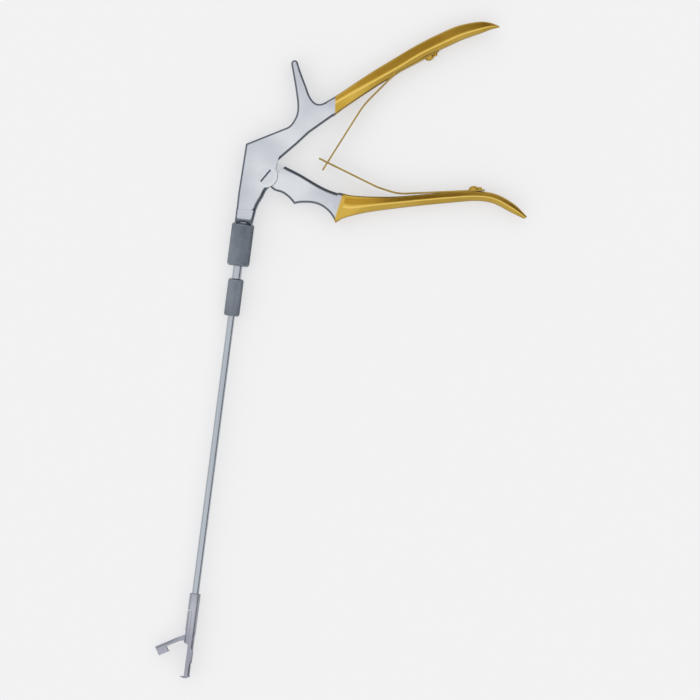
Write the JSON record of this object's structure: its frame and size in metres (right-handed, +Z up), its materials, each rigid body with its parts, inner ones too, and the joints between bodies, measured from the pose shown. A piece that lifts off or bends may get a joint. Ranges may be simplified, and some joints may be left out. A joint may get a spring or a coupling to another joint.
{
  "type": "biopsy punch",
  "caption": "Long-shafted biopsy punch: ring-free squeeze handle with crossed leaf springs, knurled coupling nut and sleeve, and a small hinged cutting jaw that bites into a windowed fixed jaw.",
  "frame": {"origin": "on the shaft's axis, in the middle of the coupling nut", "axes": "+X along the shaft from the handle towards the jaws, +Y towards the side of the grips, +Z up out of the flat handle, on the side of the pivot screw's head"},
  "size_m": [0.3792, 0.1729, 0.0124],
  "materials": {
    "handle_steel": "satin stainless steel, gold plated along the grips",
    "screw_steel": "satin stainless steel",
    "gold_screw": "satin, gold plated",
    "gold_leaf": "satin spring steel, gold plated",
    "knurled_steel": "finely knurled stainless steel",
    "shaft_steel": "polished stainless steel",
    "jaw_steel": "satin stainless steel with polished edges"
  },
  "bodies": {
    "handle": {"fixed_handle": "handle_steel", "pivot_screw": "screw_steel", "upper_spring_screw": "gold_screw", "upper_spring_pin": "gold_screw"},
    "lever": {"movable_handle": "handle_steel", "lower_spring_screw": "gold_screw", "lower_spring_pin": "gold_screw"},
    "upper_leaf": {"upper_leaf_spring": "gold_leaf"},
    "lower_leaf": {"lower_leaf_spring": "gold_leaf"},
    "nut": {"coupling_nut": "knurled_steel"},
    "shaft": {"shaft_spigot": "shaft_steel", "thrust_washer": "shaft_steel", "rotation_sleeve": "knurled_steel", "shaft_tube": "shaft_steel", "rod_guide_bush": "shaft_steel", "fixed_jaw": "jaw_steel", "jaw_pivot_pin": "jaw_steel"},
    "rod": {"push_rod": "shaft_steel", "rod_ball_end": "shaft_steel", "drive_bar": "jaw_steel", "drive_pin": "jaw_steel"},
    "jaw": {"movable_jaw": "jaw_steel"}
  },
  "joints": [
    {"name": "handle_squeeze", "type": "hinge", "parent": "handle", "child": "lever", "pos_m": [-0.0391, 0.0088, 0], "axis": [0, 0, 1], "range_deg": [0, 20], "stiffness_Nm_per_rad": 3, "springref_deg": -2.86},
    {"name": "nut_turn", "type": "hinge", "parent": "handle", "child": "nut", "pos_m": [0, 0, 0], "axis": [1, 0, 0], "continuous": true},
    {"name": "shaft_rotation", "type": "hinge", "parent": "handle", "child": "shaft", "pos_m": [0, 0, 0], "axis": [1, 0, 0], "continuous": true},
    {"name": "rod_slide", "type": "slide", "parent": "shaft", "child": "rod", "axis": [1, 0, 0], "range_m": [0, 0.00308]},
    {"name": "jaw_close", "type": "hinge", "parent": "shaft", "child": "jaw", "pos_m": [0.2188, 0.0012, 0], "axis": [0, 0, 1], "range_deg": [0, 60.2]},
    {"name": "upper_leaf_flex", "type": "hinge", "parent": "handle", "child": "upper_leaf", "pos_m": [-0.095, 0.0644, 0], "axis": [0, 0, 1], "range_deg": [-6, 0], "deforming": ["upper_leaf_spring"]},
    {"name": "lower_leaf_flex", "type": "hinge", "parent": "lever", "child": "lower_leaf", "pos_m": [-0.0397, 0.0742, 0], "axis": [0, 0, 1], "range_deg": [0, 6], "deforming": ["lower_leaf_spring"]}
  ],
  "couplings": [
    {"joint": "rod_slide", "follows": "handle_squeeze", "m_per_rad": 0.0088},
    {"joint": "jaw_close", "follows": "handle_squeeze", "ratio": 3},
    {"joint": "upper_leaf_flex", "follows": "handle_squeeze", "ratio": -0.3},
    {"joint": "lower_leaf_flex", "follows": "handle_squeeze", "ratio": 0.3}
  ]
}
